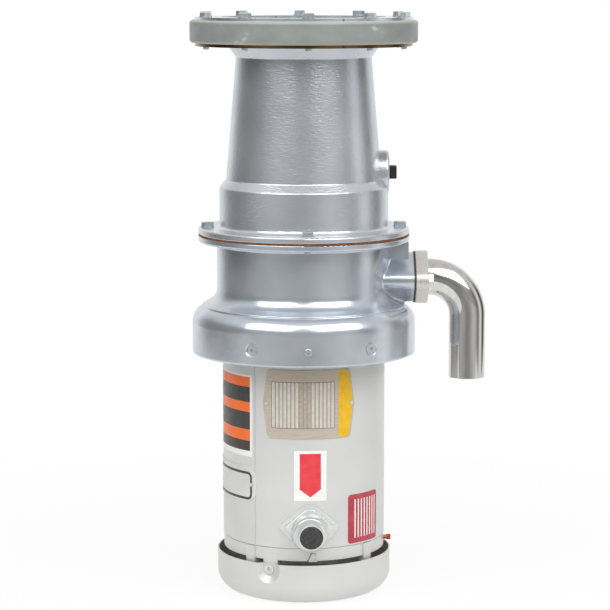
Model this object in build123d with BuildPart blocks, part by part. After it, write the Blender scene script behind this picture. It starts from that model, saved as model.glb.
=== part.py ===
from build123d import *

import math
import os

os.makedirs("parts", exist_ok=True)

# Commercial food waste disposer with its sink clamp and drain elbow, in millimetres.
# The axis of the motor and of the feed throat is Z, the base plane is z = 0,
# the front is -Y and the drain points to +X.
# An azimuth runs from the front towards +X, in degrees.

# Fits
press_gap = 0.05
slip_gap = 0.3

# Bottom cover, a drawn dish with two screw scoops
cover_overhang = 6.2
cover_height = 43.0
cover_corner = 21.0
cover_sheet = 1.2
cover_rim_gap = 3.5
cover_screw_azimuth = -24.0
cover_screw_drop = 6.0
cover_screw_radius = 2.4
cover_screw_head_radius = 4.7
cover_screw_head_height = 2.6
cover_screw_grip = 9.3
cover_screw_slot = 1.2
scoop_depth = 5.6
scoop_floor_radius = 7.0
scoop_slope = 1.3
conduit_radius = 11.1
conduit_offset = 45.0

# Lower motor bracket
bracket_wall_height = 13.5
bracket_inset = 0.5
bracket_wall = 10.5
bracket_web = 7.0
bracket_web_rise = 3.0
bracket_spigot = 7.0
bracket_hub_floor = 6.0
bracket_hub_wall = 7.0
lug_azimuth = -40.0
lug_count = 4
lug_width = 11.0
lug_proud = 1.8
lug_drop = 6.0
joint_groove = 0.8
screw_boss_width = 16.0
screw_boss_drop = 20.0
wire_hole_radius = 9.0
wire_hole_circle = 48.0
notch_azimuth = 5.5
notch_width = 9.5
notch_height = 9.0
notch_lean = 4.0
notch_droop = 1.5
notch_depth = 2.5
notch_slit = 1.1
tab_inset = 0.3

# Motor shell and through bolts
shell_radius = 85.0
shell_sheet = 2.0
shell_length = 212.0
seam_azimuth = -36.0
seam_width = 1.2
seam_depth = 0.5
through_bolt_radius = 2.5
through_bolt_inset = 5.0
through_bolt_head = 8.0
through_bolt_head_height = 3.5
through_bolt_thread = 9.0

# Stator and rotor
stator_rise = 66.0
stator_headroom = 46.0
stator_depth = 35.0
slot_count = 24
slot_width = 6.0
slot_depth = 19.0
slot_lining = 0.2
winding_height = 28.0
winding_width = 18.0
winding_fillet = 6.0
air_gap = 0.4
end_ring_height = 8.0
end_ring_width = 16.0
fan_blade_count = 8
fan_blade_height = 9.0
fan_blade_thickness = 3.0
fan_blade_width = 12.8

# Shaft
rotor_seat_radius = 14.0
lower_step_radius = 12.0
lower_step_length = 24.0
seal_shaft_radius = 11.0
table_seat_radius = 9.5
thread_radius = 8.0
thread_proud = 4.0
shaft_chamfer = 1.0

# Ball bearings
upper_bearing_outer = 26.0
upper_bearing_inner = 12.5
upper_bearing_width = 15.0
upper_ball_radius = 3.97
upper_ball_count = 9
lower_bearing_outer = 20.0
lower_bearing_inner = 8.5
lower_bearing_width = 12.0
lower_ball_radius = 3.37
lower_ball_count = 8
ball_gap = 0.08
ball_pocket_gap = 0.2
preload_height = 2.0
preload_sheet = 0.6
preload_width = 6.5
cage_rim = 1.4
cage_half_width = 1.2
land_share = 0.55

# Upper motor bracket
upper_flange_gap = 1.7
upper_flange_thickness = 12.0
upper_spigot = 7.0
upper_hub_wall = 7.0
upper_hub_drop = 4.0
upper_cap_thickness = 6.5
pilot_radius = 50.0
pilot_height = 3.0
mount_screw_clear = 9.0
mount_screw_edge = 8.0
mount_screw_count = 4
mount_screw_azimuth = 45.0
mount_screw_radius = 4.0
mount_screw_head = 13.0
mount_screw_head_height = 5.3
mount_screw_grip = 14.0

# Lower housing
skirt_drop = 31.5
skirt_wall = 5.0
skirt_inner_fillet = 8.0
skirt_edge_fillet = 2.4
floor_thickness = 16.0
neck_inset = 25.8
neck_wall = 7.0
lower_housing_rise = 91.6
shoulder_rise = 27.5
shoulder_slope = 61.0
shoulder_fillet = 18.0
shoulder_step_inset = 10.6
shoulder_step = 1.6
shoulder_step_root = 0.8
shoulder_step_edge = 1.2
neck_fillet = 15.0
flange_overhang = 19.1
lower_flange_thickness = 6.6
flange_edge_fillet = 2.2
flange_root_fillet = 4.0
chamber_fillet = 8.0
seal_hub_radius = 27.0
seal_hub_rise = 12.0
seal_shaft_gap = 2.0
slinger_cavity_radius = 32.0
slinger_cavity_height = 9.0
skirt_hole_rise = 16.5
skirt_hole_radius = 6.0
skirt_hole_chamfer = 1.2
skirt_hole_azimuths = (-27.0, 36.0)
skirt_plug_sink = (2.6, 0.6)
skirt_plug_length = 4.0
skirt_plug_socket = 5.0
skirt_screw_azimuth = 2.3
skirt_screw_head_radius = 3.8
skirt_screw_head_height = 1.6
skirt_screw_radius = 2.0

# Drain
drain_rise = 31.0
drain_bore = 17.5
drain_boss_reach = 23.3
drain_centre_radius = 27.5
drain_end_radius = 11.0
drain_bolt_offset = 32.0
drain_boss_inset = 1.5
drain_boss_fillet = 2.5
drain_block_half_width = 17.0
drain_block_inset = 1.0
drain_gasket_thickness = 2.0
drain_plate_thickness = 13.0
drain_plate_fillet = 1.2
drain_bolt_radius = 4.0
drain_bolt_head = 13.0
drain_bolt_head_height = 5.3
drain_bolt_thread = 14.0
tube_radius = 19.05
tube_wall = 1.25
tube_stub = 2.3
tube_bend = 40.0
tube_drop = 65.6
tube_lip_radius = 22.0
tube_lip_thickness = 2.0

# Upper housing
gasket_thickness = 1.6
upper_flange_plate = 6.8
barrel_inset = 2.9
barrel_height = 41.5
cone_foot_inset = 7.1
cone_foot_rise = 8.5
cone_draw = 11.9
cone_root_fillet = 1.5
cone_edge_fillet = 2.2
upper_housing_height = 197.8
housing_wall = 6.0
flare_rise = 15.0
flare_reach = 12.0
flare_root = 2.5
clamp_overlap = 12.0
clamp_flange_thickness = 8.0
clamp_flange_fillet = 1.0
flange_bolt_edge = 9.5
flange_bolt_count = 4
flange_bolt_azimuth = 2.3
flange_bolt_tip = 2.5
bolt_radius = 3.175
bolt_head = 11.1
bolt_head_height = 4.4
bolt_washer_radius = 6.8
bolt_washer_height = 0.9
bolt_chamfer = 0.8
inlet_rise = 63.8
inlet_boss_radius = 22.5
inlet_boss_proud = 0.6
inlet_boss_fillet = 3.0
inlet_bore = 10.4
inlet_plug_length = 12.0
inlet_plug_square = 13.4
inlet_plug_head = 8.0
inlet_plug_fillet = 1.2

# Sink clamp
lower_clamp_edge = 6.2
lower_clamp_thickness = 3.2
upper_clamp_edge = 6.7
upper_clamp_thickness = 3.0
flare_clearance = 4.0
isolation_edge = 11.7
isolation_height = 23.5
isolation_bore_step = 3.0
isolation_fillet = 3.5
isolation_bore_fillet = 1.0
clamp_bolt_clear = 9.3
clamp_bolt_count = 10
clamp_bolt_azimuth = 2.5
clamp_bolt_tip = 3.0
clamp_split = 1.6

# Grinding parts
shredder_wall = 7.2
shredder_top_gap = 6.0
shredder_lip = 3.5
shredder_lip_thickness = 4.0
shredder_port_count = 20
shredder_port_width = 6.0
shredder_port_depth = 4.5
shredder_port_rise = 8.0
table_gap = 1.0
table_rise = 8.4
table_thickness = 8.0
table_hub_radius = 22.0
table_hub_drop = 34.0
table_boss_radius = 20.0
table_boss_height = 4.0
cutter_length = 26.0
cutter_width = 18.0
cutter_height = 20.0
cutter_edge_gap = 3.5
cutter_chamfer = 4.0
cutter_screw_radius = 4.0
cutter_screw_head_radius = 6.0
cutter_screw_head_height = 4.0
cutter_screw_grip = 12.0
table_washer_radius = 17.0
table_washer_thickness = 3.0
table_nut_flat = 24.0
table_nut_height = 12.0
key_width = 5.0
key_height = 5.0
key_length = 24.0
key_drop = 6.0

# Face seal and slinger
seal_seat_radius = 20.0
seal_seat_height = 7.0
seal_face_radius = 18.0
seal_face_height = 8.0
bellows_wall = 1.2
bellows_wave = 1.8
bellows_folds = 3
seal_spring_radius = 16.8
seal_spring_wire = 1.0
seal_spring_turns = 4
slinger_radius = 24.0
slinger_thickness = 3.0
slinger_gap = 1.0

# Reset switch
reset_azimuth = 4.0
reset_rise = 17.5
reset_skin = 2.0
reset_ear_offset = 23.9
reset_ear_rise = 4.8
reset_ear_radius = 6.0
reset_apex_rise = 14.6
reset_apex_radius = 14.0
reset_foot_radius = 20.0
reset_step_inset = 4.3
reset_step_height = 4.0
reset_step_fillet = 1.2
reset_dome_foot = 21.5
reset_dome_top = 18.0
reset_dome_height = 10.0
reset_dome_root = 4.5
reset_collar_radius = 17.0
reset_collar_height = 15.0
reset_collar_fillet = 1.5
reset_bezel_wall = 1.0
reset_bezel_length = 12.8
reset_rivet_radius = 1.5
reset_rivet_grip = 5.0
reset_rivet_head_radius = 3.2
reset_rivet_head_height = 1.4
reset_bore = 11.9
reset_floor = 2.5
button_gap = 0.4
button_thickness = 8.0
button_proud = 0.8
button_fillet = 1.2
button_stem_radius = 4.5
button_travel = 3.0
protector_clear = 0.5
protector_depth = 24.0
stem_engagement = 6.0

# Wiring space
board_length = 54.0
board_width = 26.0
board_thickness = 5.0
board_drop = 10.0
board_offset = 44.0
board_post_radius = 4.0
board_post_pitch = 40.0
board_screw_count = 4
board_screw_pitch = 12.0
board_screw_radius = 2.0
board_screw_head_radius = 3.6
board_screw_head_height = 2.4

# Grease fitting on the lower bracket
grease_azimuth = 88.0
grease_rise = 6.5
grease_radius = 2.2
grease_length = 5.5
grease_root = 5.0
grease_cap_radius = 2.9
grease_cap_length = 4.5
grease_cap_fillet = 0.7

# Plates on the shell
plate_thickness = 0.7
nameplate_azimuth = 4.0
nameplate_drop = 62.0
nameplate_half_height = 35.5
nameplate_half_width = 47.0
nameplate_point = 4.5
nameplate_corner = 4.0
badge_azimuth = -84.0
badge_drop = 149.0
badge_half_height = 18.5
badge_half_width = 64.0
badge_corner = 10.0
pin_radius = 1.1
pin_head_radius = 1.9
pin_head_height = 0.8
pin_edge = 4.0

# Heights of the main joints, from the base plane up
bracket_foot = cover_height + cover_rim_gap
shell_foot = bracket_foot + bracket_wall_height
shell_head = shell_foot + shell_length
motor_face = shell_head + upper_flange_thickness
chamber_floor = motor_face + floor_thickness
skirt_foot = motor_face - skirt_drop
drain_height = chamber_floor + drain_rise
lower_housing_top = motor_face + lower_housing_rise
upper_housing_foot = lower_housing_top + gasket_thickness
barrel_foot = upper_housing_foot + upper_flange_plate
barrel_top = barrel_foot + barrel_height
cone_foot = barrel_top + cone_foot_rise
clamp_flange_foot = upper_housing_foot + upper_housing_height
clamp_flange_top = clamp_flange_foot + clamp_flange_thickness
isolation_top = clamp_flange_foot + isolation_height
clamp_top = isolation_top + upper_clamp_thickness
table_foot = lower_housing_top + table_rise
table_top = table_foot + table_thickness
table_hub_foot = table_foot - table_hub_drop
table_boss_top = table_top + table_boss_height
upper_bearing_top = motor_face - upper_cap_thickness
upper_bearing_foot = upper_bearing_top - upper_bearing_width
lower_bearing_foot = bracket_foot + bracket_hub_floor + preload_height
lower_bearing_top = lower_bearing_foot + lower_bearing_width
stator_foot = shell_foot + stator_rise
stator_head = shell_head - stator_headroom
seal_hub_top = chamber_floor + seal_hub_rise
seal_seat_foot = seal_hub_top - seal_seat_height
seal_face_top = seal_hub_top + seal_face_height
reset_height = shell_foot + reset_rise
protector_radius = reset_rise - bracket_spigot - protector_clear

# Radii that follow from them, from the shell outwards and up
shell_inner = shell_radius - shell_sheet
cover_radius = shell_radius + cover_overhang
bracket_radius = shell_radius - bracket_inset
bracket_inner = bracket_radius - bracket_wall
spigot_radius = shell_inner - press_gap
through_bolt_circle = shell_inner - through_bolt_inset
stator_bore = shell_inner - stator_depth
stator_length = stator_head - stator_foot
rotor_radius = stator_bore - air_gap
mount_screw_circle = shell_radius + mount_screw_clear
upper_flange_radius = mount_screw_circle + mount_screw_edge
skirt_bore = upper_flange_radius + upper_flange_gap + skirt_inner_fillet
skirt_radius = skirt_bore + skirt_wall
neck_radius = skirt_radius - neck_inset
chamber_radius = neck_radius - neck_wall
flange_radius = neck_radius + flange_overhang
flange_bolt_circle = flange_radius - flange_bolt_edge
barrel_radius = neck_radius - barrel_inset
barrel_bore = barrel_radius - housing_wall
cone_foot_radius = barrel_radius - cone_foot_inset
cone_top_radius = cone_foot_radius - cone_draw
throat_radius = cone_top_radius - housing_wall
clamp_bore = cone_top_radius + flare_reach + flare_clearance
clamp_flange_radius = clamp_bore + clamp_overlap
clamp_bolt_circle = clamp_flange_radius + clamp_bolt_clear
lower_clamp_radius = clamp_bolt_circle + lower_clamp_edge
upper_clamp_radius = clamp_bolt_circle + upper_clamp_edge
isolation_radius = clamp_bolt_circle + isolation_edge
isolation_bore = throat_radius + isolation_bore_step
shredder_radius = barrel_bore - slip_gap
shredder_bore = shredder_radius - shredder_wall
table_radius = shredder_bore - table_gap
lip_radius = chamber_radius + shredder_lip
lower_hub_radius = lower_bearing_outer + bracket_hub_wall
upper_hub_radius = upper_bearing_outer + upper_hub_wall
drain_face = neck_radius + drain_boss_reach
drain_plate_foot = drain_face + drain_gasket_thickness
drain_plate_top = drain_plate_foot + drain_plate_thickness
scoop_floor = cover_radius - scoop_depth
screw_boss_face = scoop_floor - cover_sheet
reset_front = shell_radius + reset_collar_height + reset_bezel_length
button_front = reset_front + button_proud
button_back = button_front - button_thickness
stem_end = shell_inner - stem_engagement
cover_screw_height = cover_height - cover_screw_drop
cover_screw_azimuths = (cover_screw_azimuth, cover_screw_azimuth + 180.0)
skirt_hole_height = skirt_foot + skirt_hole_rise

standing = (Align.CENTER, Align.CENTER, Align.MIN)


def radial_plane(azimuth, radius, height):
    """Plane square to a radius: its normal points outwards and its y axis is up."""
    turn = math.radians(azimuth)
    outward = (math.sin(turn), -math.cos(turn), 0)
    sideways = (math.cos(turn), math.sin(turn), 0)
    origin = (radius * outward[0], radius * outward[1], height)
    return Plane(origin=origin, x_dir=sideways, z_dir=outward)


def disc(radius, foot, head, mode=Mode.ADD):
    """Round slice on the main axis."""
    with Locations((0, 0, foot)):
        Cylinder(radius, head - foot, align=standing, mode=mode)


def annulus(outer, inner, foot, head, mode=Mode.ADD):
    """Ring on the main axis."""
    with BuildSketch(Plane.XY.offset(foot)) as ring:
        Circle(outer)
        Circle(inner, mode=Mode.SUBTRACT)
    extrude(ring.sketch, amount=head - foot, mode=mode)


def round_row(circle, count, azimuth, radius, foot, head, mode=Mode.ADD):
    """Upright cylinders round the main axis."""
    with Locations((0, 0, foot)):
        with PolarLocations(circle, count, start_angle=azimuth - 90):
            Cylinder(radius, head - foot, align=standing, mode=mode)


def hex_row(circle, count, azimuth, flat, foot, head):
    """Upright hexagons round the main axis."""
    with BuildSketch(Plane.XY.offset(foot)) as heads:
        with PolarLocations(circle, count, start_angle=azimuth - 90):
            RegularPolygon(flat / 2, 6, major_radius=False)
    extrude(heads.sketch, amount=head - foot)


def radial_pin(azimuth, height, radius, inner, outer, mode=Mode.ADD):
    """Cylinder along a radius, between two distances from the main axis."""
    with Locations(radial_plane(azimuth, inner, height)):
        Cylinder(radius, outer - inner, align=standing, mode=mode)


def side_plane(distance, offset, height):
    """Plane square to the X axis: its x axis is Y and its y axis is up."""
    return Plane(origin=(distance, offset, height), x_dir=(0, 1, 0), z_dir=(1, 0, 0))


def drain_pin(offset, radius, near, far, mode=Mode.ADD):
    """Cylinder along the drain's axis, moved sideways by an offset."""
    with Locations(side_plane(near, offset, drain_height)):
        Cylinder(radius, far - near, align=standing, mode=mode)


def drain_outline(inset):
    """Two-bolt outline of the drain flange, drawn in the open sketch."""
    Circle(drain_centre_radius - inset)
    with Locations((drain_bolt_offset, 0), (-drain_bolt_offset, 0)):
        Circle(drain_end_radius - inset)
    make_hull()


def drain_slab(inset, near, far):
    """Slab with the two-bolt outline, between two distances along the drain."""
    with BuildSketch(side_plane(near, 0, drain_height)) as outline:
        drain_outline(inset)
    extrude(outline.sketch, amount=far - near)


def keep(piece, name):
    """Name a finished piece and write it."""
    piece.part.label = name
    export_step(piece.part, f"parts/{name}.step")


def dish(radius, corner, foot, head):
    """Solid dish with a rounded bottom corner."""
    with BuildSketch(Plane.XZ) as profile:
        with BuildLine():
            FilletPolyline((0, foot), (radius, foot), (radius, head), (0, head),
                           radius=[corner, 0])
            Line((0, head), (0, foot))
        make_face()
    revolve(profile.sketch, axis=Axis.Z)


def scoops(thickness):
    """Cut the two screw scoops, grown inwards by a thickness of sheet."""
    flank = math.hypot(1, scoop_slope)
    foot = scoop_floor - thickness
    foot_radius = scoop_floor_radius + thickness * (flank - scoop_slope)
    length = cover_radius - foot + 2 * cover_sheet
    mouth_radius = foot_radius + scoop_slope * length
    for azimuth in cover_screw_azimuths:
        with Locations(radial_plane(azimuth, foot, cover_screw_height)):
            Cone(foot_radius, mouth_radius, length, align=standing, mode=Mode.SUBTRACT)


# Bottom cover
with BuildPart() as cover_hollow:
    dish(cover_radius - cover_sheet, cover_corner - cover_sheet, cover_sheet, cover_height)
    scoops(cover_sheet)

with BuildPart() as bottom_cover:
    dish(cover_radius, cover_corner, 0, cover_height)
    scoops(0)
    add(cover_hollow.part, mode=Mode.SUBTRACT)
    for azimuth in cover_screw_azimuths:
        radial_pin(azimuth, cover_screw_height, cover_screw_radius + slip_gap,
                   screw_boss_face - cover_sheet, cover_radius, Mode.SUBTRACT)
    with Locations((0, conduit_offset, 0)):
        Cylinder(conduit_radius, cover_sheet, align=standing, mode=Mode.SUBTRACT)
keep(bottom_cover, "bottom_cover")

with BuildPart() as cover_screws:
    for azimuth in cover_screw_azimuths:
        head = scoop_floor + cover_screw_head_height
        radial_pin(azimuth, cover_screw_height, cover_screw_head_radius, scoop_floor, head)
        radial_pin(azimuth, cover_screw_height, cover_screw_radius,
                   screw_boss_face - cover_screw_grip, scoop_floor)
        with Locations(radial_plane(azimuth, head, cover_screw_height)):
            Box(cover_screw_head_radius, cover_screw_slot, cover_screw_head_height,
                mode=Mode.SUBTRACT)
            Box(cover_screw_slot, cover_screw_head_radius, cover_screw_head_height,
                mode=Mode.SUBTRACT)
keep(cover_screws, "cover_screws")

# Lower motor bracket
lug_foot = bracket_foot - lug_drop
web_foot = bracket_foot + bracket_web_rise
grease_height = bracket_foot + grease_rise
notch_outline = [(-notch_width / 2, 0), (notch_lean - notch_width / 2, notch_height),
                 (notch_width / 2, notch_height - notch_droop), (notch_width / 2, 0)]
with BuildPart() as lower_bracket:
    annulus(bracket_radius, bracket_inner, bracket_foot, shell_foot)
    annulus(bracket_radius, bracket_radius - joint_groove, shell_foot - joint_groove, shell_foot,
            Mode.SUBTRACT)
    annulus(spigot_radius, bracket_inner, shell_foot, shell_foot + bracket_spigot)
    disc(bracket_inner, web_foot, web_foot + bracket_web)
    disc(lower_hub_radius, bracket_foot, lower_bearing_top)
    with BuildSketch(Plane.XY.offset(lug_foot)):
        with PolarLocations(bracket_radius + lug_proud, lug_count, start_angle=lug_azimuth - 90):
            Rectangle(lug_proud + bracket_wall, lug_width, align=(Align.MAX, Align.CENTER))
    extrude(amount=shell_foot - joint_groove - lug_foot)
    boss_foot = bracket_foot - screw_boss_drop
    for azimuth in cover_screw_azimuths:
        with Locations(radial_plane(azimuth, screw_boss_face, boss_foot)):
            Box(screw_boss_width, screw_boss_drop + bracket_wall_height / 2,
                screw_boss_face - bracket_inner, align=(Align.CENTER, Align.MIN, Align.MAX))
        radial_pin(azimuth, cover_screw_height, cover_screw_radius + press_gap,
                   screw_boss_face - 2 * cover_screw_grip, screw_boss_face, Mode.SUBTRACT)
    disc(lower_bearing_outer + press_gap, lower_bearing_foot - preload_height, lower_bearing_top,
         Mode.SUBTRACT)
    round_row(through_bolt_circle, lug_count, lug_azimuth, through_bolt_radius + slip_gap,
              lug_foot, shell_foot + bracket_spigot, Mode.SUBTRACT)
    with Locations((0, wire_hole_circle, web_foot)):
        Cylinder(wire_hole_radius, bracket_web, align=standing, mode=Mode.SUBTRACT)
    with BuildSketch(radial_plane(notch_azimuth, bracket_radius, bracket_foot)):
        Polygon(*notch_outline, align=None)
    extrude(amount=notch_depth, both=True, mode=Mode.SUBTRACT)
    with BuildSketch(radial_plane(notch_azimuth, bracket_radius - tab_inset, bracket_foot)):
        with Locations((notch_slit, -notch_slit)):
            Polygon(*notch_outline, align=None)
    extrude(amount=-notch_depth)
    radial_pin(grease_azimuth, grease_height, grease_radius + press_gap,
               bracket_radius - grease_root, bracket_radius + grease_length, Mode.SUBTRACT)
keep(lower_bracket, "lower_bracket")

with BuildPart() as grease_fitting:
    radial_pin(grease_azimuth, grease_height, grease_radius,
               bracket_radius - grease_root, bracket_radius + grease_length)
keep(grease_fitting, "grease_fitting")

grease_tip = bracket_radius + grease_length
with BuildPart() as grease_cap:
    radial_pin(grease_azimuth, grease_height, grease_cap_radius,
               grease_tip - grease_cap_length / 2, grease_tip + grease_cap_length / 2)
    fillet(grease_cap.edges().filter_by(GeomType.CIRCLE), grease_cap_fillet)
    radial_pin(grease_azimuth, grease_height, grease_radius + press_gap,
               grease_tip - grease_cap_length, grease_tip, Mode.SUBTRACT)
keep(grease_cap, "grease_cap")

with BuildPart() as through_bolts:
    hex_row(through_bolt_circle, lug_count, lug_azimuth, through_bolt_head,
            lug_foot - through_bolt_head_height, lug_foot)
    round_row(through_bolt_circle, lug_count, lug_azimuth, through_bolt_radius,
              lug_foot, shell_head + through_bolt_thread)
keep(through_bolts, "through_bolts")

# Wiring board under the lower bracket
board_top = web_foot - board_drop
board_foot = board_top - board_thickness
with BuildPart() as terminal_board:
    with Locations((-board_offset, 0, board_foot)):
        Box(board_width, board_length, board_thickness, align=standing)
    with Locations((-board_offset, 0, board_top)):
        with GridLocations(1, board_post_pitch, 1, 2):
            Cylinder(board_post_radius, board_drop, align=standing)
    with Locations((-board_offset, 0, board_foot)):
        with GridLocations(1, board_screw_pitch, 1, board_screw_count):
            Cylinder(board_screw_radius + press_gap, board_thickness, align=standing,
                     mode=Mode.SUBTRACT)
keep(terminal_board, "terminal_board")

with BuildPart() as terminal_screws:
    with Locations((-board_offset, 0, board_foot - board_screw_head_height)):
        with GridLocations(1, board_screw_pitch, 1, board_screw_count):
            Cylinder(board_screw_head_radius, board_screw_head_height, align=standing)
            Cylinder(board_screw_radius, board_screw_head_height + board_thickness, align=standing)
keep(terminal_screws, "terminal_screws")

# Plates on the shell
nameplate_height = shell_head - nameplate_drop
badge_height = shell_head - badge_drop


def pin_azimuths(azimuth, half_width):
    """Azimuths of the two drive pins at the ends of a plate."""
    reach = math.degrees(math.asin((half_width - pin_edge) / shell_radius))
    return azimuth - reach, azimuth + reach


plate_pins_at = [(azimuth, nameplate_height)
                 for azimuth in pin_azimuths(nameplate_azimuth, nameplate_half_width)]
plate_pins_at += [(azimuth, badge_height)
                  for azimuth in pin_azimuths(badge_azimuth, badge_half_width)]


def wrap_plate(height, half_height):
    """Keep the thin skin of a block that lies on the shell, with its pin holes."""
    disc(shell_radius + plate_thickness, height - 2 * half_height, height + 2 * half_height,
         Mode.INTERSECT)
    disc(shell_radius + press_gap, height - 2 * half_height, height + 2 * half_height, Mode.SUBTRACT)
    for azimuth, pin_height in plate_pins_at:
        radial_pin(azimuth, pin_height, pin_radius + press_gap, shell_inner,
                   shell_radius + 2 * plate_thickness, Mode.SUBTRACT)


with BuildPart() as nameplate:
    with BuildSketch(radial_plane(nameplate_azimuth, shell_radius / 2, nameplate_height)):
        side = nameplate_half_width - nameplate_point
        with BuildLine():
            FilletPolyline((-nameplate_half_width, 0), (-side, nameplate_half_height),
                           (side, nameplate_half_height), (nameplate_half_width, 0),
                           (side, -nameplate_half_height), (-side, -nameplate_half_height),
                           radius=nameplate_corner, close=True)
        make_face()
    extrude(amount=shell_radius)
    wrap_plate(nameplate_height, nameplate_half_height)
keep(nameplate, "nameplate")

with BuildPart() as badge_plate:
    with BuildSketch(radial_plane(badge_azimuth, shell_radius / 2, badge_height)):
        RectangleRounded(2 * badge_half_width, 2 * badge_half_height, badge_corner)
    extrude(amount=shell_radius)
    wrap_plate(badge_height, badge_half_height)
keep(badge_plate, "badge_plate")

with BuildPart() as plate_pins:
    for azimuth, pin_height in plate_pins_at:
        seat = shell_radius + plate_thickness
        radial_pin(azimuth, pin_height, pin_radius, shell_inner, seat)
        radial_pin(azimuth, pin_height, pin_head_radius, seat, seat + pin_head_height)
keep(plate_pins, "plate_pins")

# Motor shell
rivet_reach = math.degrees(math.asin(reset_ear_offset / (shell_radius + reset_skin)))
rivet_azimuths = (reset_azimuth - rivet_reach, reset_azimuth + rivet_reach)
rivet_height = reset_height + reset_ear_rise
with BuildPart() as motor_shell:
    annulus(shell_radius, shell_inner, shell_foot, shell_head)
    with Locations(radial_plane(seam_azimuth, shell_radius, (shell_foot + shell_head) / 2)):
        Box(seam_width, 2 * shell_length, 2 * seam_depth, mode=Mode.SUBTRACT)
    radial_pin(reset_azimuth, reset_height, button_stem_radius + slip_gap,
               shell_inner - shell_sheet, shell_radius + shell_sheet, Mode.SUBTRACT)
    for azimuth in rivet_azimuths:
        radial_pin(azimuth, rivet_height, reset_rivet_radius + press_gap,
                   shell_inner - shell_sheet, shell_radius + shell_sheet, Mode.SUBTRACT)
    for azimuth, pin_height in plate_pins_at:
        radial_pin(azimuth, pin_height, pin_radius + press_gap,
                   shell_inner - shell_sheet, shell_radius + shell_sheet, Mode.SUBTRACT)
keep(motor_shell, "motor_shell")

# Stator
with BuildPart() as stator_core:
    annulus(shell_inner - press_gap, stator_bore, stator_foot, stator_head)
    with Locations((0, 0, stator_foot)):
        with PolarLocations(stator_bore, slot_count):
            Box(2 * slot_depth, slot_width, stator_length, align=standing, mode=Mode.SUBTRACT)
    round_row(through_bolt_circle, lug_count, lug_azimuth, through_bolt_radius + slip_gap,
              stator_foot, stator_head, Mode.SUBTRACT)
keep(stator_core, "stator_core")

coil_inner = stator_bore + slot_depth - winding_width
coil_outer = stator_bore + slot_depth - slot_lining
with BuildPart() as stator_winding:
    annulus(coil_outer, coil_inner, stator_head, stator_head + winding_height)
    annulus(coil_outer, coil_inner, stator_foot - winding_height, stator_foot)
    fillet(stator_winding.edges().group_by(Axis.Z)[-1], winding_fillet)
    fillet(stator_winding.edges().group_by(Axis.Z)[0], winding_fillet)
    with Locations((0, 0, stator_foot)):
        with PolarLocations((coil_inner + coil_outer) / 2, slot_count):
            Box(coil_outer - coil_inner - slot_width, slot_width - 2 * slot_lining, stator_length,
                align=standing)
keep(stator_winding, "stator_winding")

# Rotor
with BuildPart() as rotor_core:
    annulus(rotor_radius, rotor_seat_radius + press_gap, stator_foot, stator_head)
keep(rotor_core, "rotor_core")

with BuildPart() as rotor_end_rings:
    ring_outer = rotor_radius - air_gap
    ring_inner = ring_outer - end_ring_width
    for near, far in ((stator_head, 1), (stator_foot, -1)):
        with BuildSketch(Plane.XY.offset(near)):
            Circle(ring_outer)
            Circle(ring_inner, mode=Mode.SUBTRACT)
        extrude(amount=far * end_ring_height)
        with BuildSketch(Plane.XY.offset(near + far * end_ring_height)):
            with PolarLocations((ring_outer + ring_inner) / 2, fan_blade_count):
                Rectangle(fan_blade_width, fan_blade_thickness)
        extrude(amount=far * fan_blade_height)
keep(rotor_end_rings, "rotor_end_rings")

# Shaft
nut_foot = table_boss_top + table_washer_thickness
nut_head = nut_foot + table_nut_height
key_middle = table_foot - key_drop - key_length / 2
key_reach = table_seat_radius + key_height / 2
with BuildPart() as motor_shaft:
    step_top = lower_bearing_top + lower_step_length
    disc(lower_bearing_inner - press_gap, lower_bearing_foot, lower_bearing_top)
    disc(lower_step_radius, lower_bearing_top, step_top)
    disc(rotor_seat_radius, step_top, upper_bearing_foot)
    disc(upper_bearing_inner - press_gap, upper_bearing_foot, upper_bearing_top)
    disc(seal_shaft_radius, upper_bearing_top, table_hub_foot)
    disc(table_seat_radius - press_gap, table_hub_foot, table_boss_top)
    disc(thread_radius - press_gap, table_boss_top, nut_head + thread_proud)
    chamfer(motor_shaft.edges().group_by(Axis.Z)[-1], shaft_chamfer)
    chamfer(motor_shaft.edges().group_by(Axis.Z)[0], shaft_chamfer)
    with Locations((0, key_reach - key_height, key_middle)):
        Box(key_width, key_height, key_length, align=(Align.CENTER, Align.MIN, Align.CENTER),
            mode=Mode.SUBTRACT)
keep(motor_shaft, "motor_shaft")


def make_bearing(name, outer, inner, width, ball_radius, ball_count, foot):
    """Write the two races, the balls and the cage of one ball bearing."""
    pitch = (outer + inner) / 2
    middle = foot + width / 2
    land = land_share * ball_radius
    with BuildPart() as outer_race:
        annulus(outer, pitch + land, foot, foot + width)
        with Locations((0, 0, middle)):
            Torus(pitch, ball_radius + ball_gap, mode=Mode.SUBTRACT)
    keep(outer_race, f"{name}_bearing_outer_race")
    with BuildPart() as inner_race:
        annulus(pitch - land, inner, foot, foot + width)
        with Locations((0, 0, middle)):
            Torus(pitch, ball_radius + ball_gap, mode=Mode.SUBTRACT)
    keep(inner_race, f"{name}_bearing_inner_race")
    with BuildPart() as balls:
        with Locations((0, 0, middle)):
            with PolarLocations(pitch, ball_count):
                Sphere(ball_radius)
    keep(balls, f"{name}_bearing_balls")
    with BuildPart() as cage:
        rim = ball_radius + cage_rim
        annulus(pitch + cage_half_width, pitch - cage_half_width, middle - rim, middle + rim)
        for ball in range(ball_count):
            radial_pin(90 + 360 / ball_count * ball, middle, ball_radius + ball_pocket_gap,
                       pitch - ball_radius, pitch + ball_radius, Mode.SUBTRACT)
    keep(cage, f"{name}_bearing_cage")


make_bearing("upper", upper_bearing_outer, upper_bearing_inner, upper_bearing_width,
             upper_ball_radius, upper_ball_count, upper_bearing_foot)
make_bearing("lower", lower_bearing_outer, lower_bearing_inner, lower_bearing_width,
             lower_ball_radius, lower_ball_count, lower_bearing_foot)

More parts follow.
